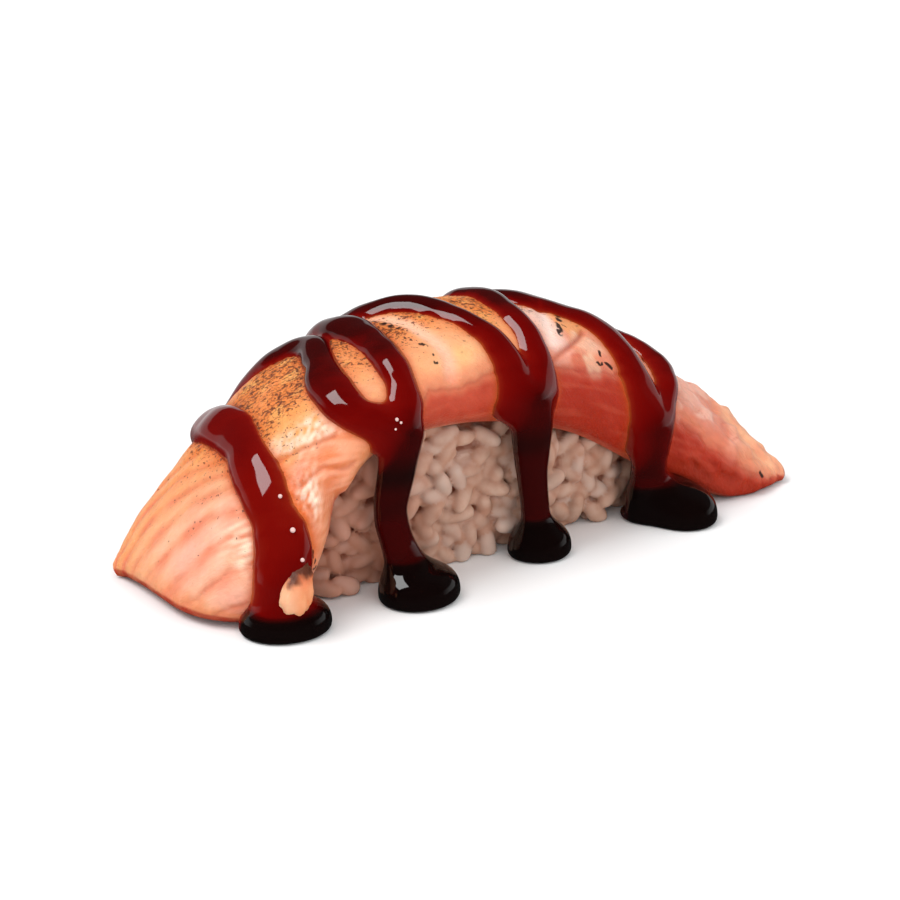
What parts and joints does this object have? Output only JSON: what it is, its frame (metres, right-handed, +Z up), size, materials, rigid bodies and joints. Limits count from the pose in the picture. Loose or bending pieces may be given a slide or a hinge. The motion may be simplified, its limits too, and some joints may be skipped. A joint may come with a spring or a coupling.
{
  "type": "seared salmon nigiri",
  "caption": "Torched salmon slice draped over a block of sushi rice, with a zigzag of dark sauce that drips to small pools in front. Prepared food, lies on a flat surface.",
  "frame": {"origin": "centre of the whole's box, on the surface it lies on", "axes": "+X along the slice of fish, -Y the long side that the sauce drips down, +Z up"},
  "size_m": [0.1037, 0.039, 0.037],
  "materials": {
    "salmon": "moist, oily fish flesh, torched orange-brown on top with dark specks",
    "rice": "sticky cooked rice, translucent, satin",
    "sauce": "thick sweet soy glaze, very glossy, dark red-brown to black"
  },
  "bodies": {
    "root": {"salmon": "salmon", "rice": "rice", "sauce": "sauce"}
  },
  "joints": []
}
